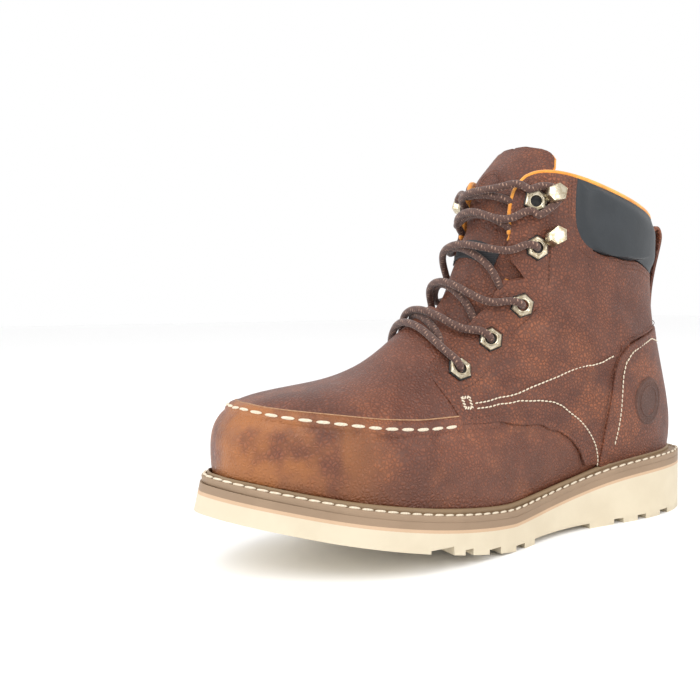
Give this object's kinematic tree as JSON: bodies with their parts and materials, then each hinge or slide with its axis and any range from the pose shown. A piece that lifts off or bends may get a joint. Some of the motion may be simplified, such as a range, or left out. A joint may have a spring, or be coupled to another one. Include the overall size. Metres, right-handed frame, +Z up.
{
  "type": "work boot",
  "caption": "Lace-up work boot for the left foot with a wedge sole, moc toe, padded collar, heel pull loop, hexagonal eyelets and speed hooks, standing empty.",
  "frame": {"origin": "middle of the boot's overall box, on the floor it stands on", "axes": "+X to the toe, +Y to the outer side of the foot, +Z up"},
  "size_m": [0.306, 0.1118, 0.2142],
  "materials": {
    "cream_rubber": "matt foamed rubber with a moulded tread",
    "peach_line": "matt",
    "taupe_rubber": "matt, buffed edge",
    "brown_leather": "pebbled and oiled, satin",
    "black_pad": "smooth, satin",
    "orange_lining": "honeycomb mesh",
    "antique_brass": "antique, worn bright on the edges",
    "brown_lace": "round braid with a lighter fleck",
    "black_tag": "woven"
  },
  "bodies": {
    "root": {"outsole": "cream_rubber", "sole_line": "peach_line", "midsole": "taupe_rubber", "welt": "taupe_rubber", "insole": "orange_lining", "upper": "brown_leather", "quarter": "brown_leather", "toe_plug": "brown_leather", "heel_counter": "brown_leather", "collar_pad": "black_pad", "pull_loop": "brown_leather", "tongue": "brown_leather", "tongue_tag": "black_tag", "eyelet_outer_1": "antique_brass", "eyelet_outer_2": "antique_brass", "eyelet_outer_3": "antique_brass", "hook_outer_1": "antique_brass", "hook_outer_2": "antique_brass", "eyelet_inner_1": "antique_brass", "eyelet_inner_2": "antique_brass", "eyelet_inner_3": "antique_brass", "hook_inner_1": "antique_brass", "hook_inner_2": "antique_brass", "lace": "brown_lace"}
  },
  "joints": []
}
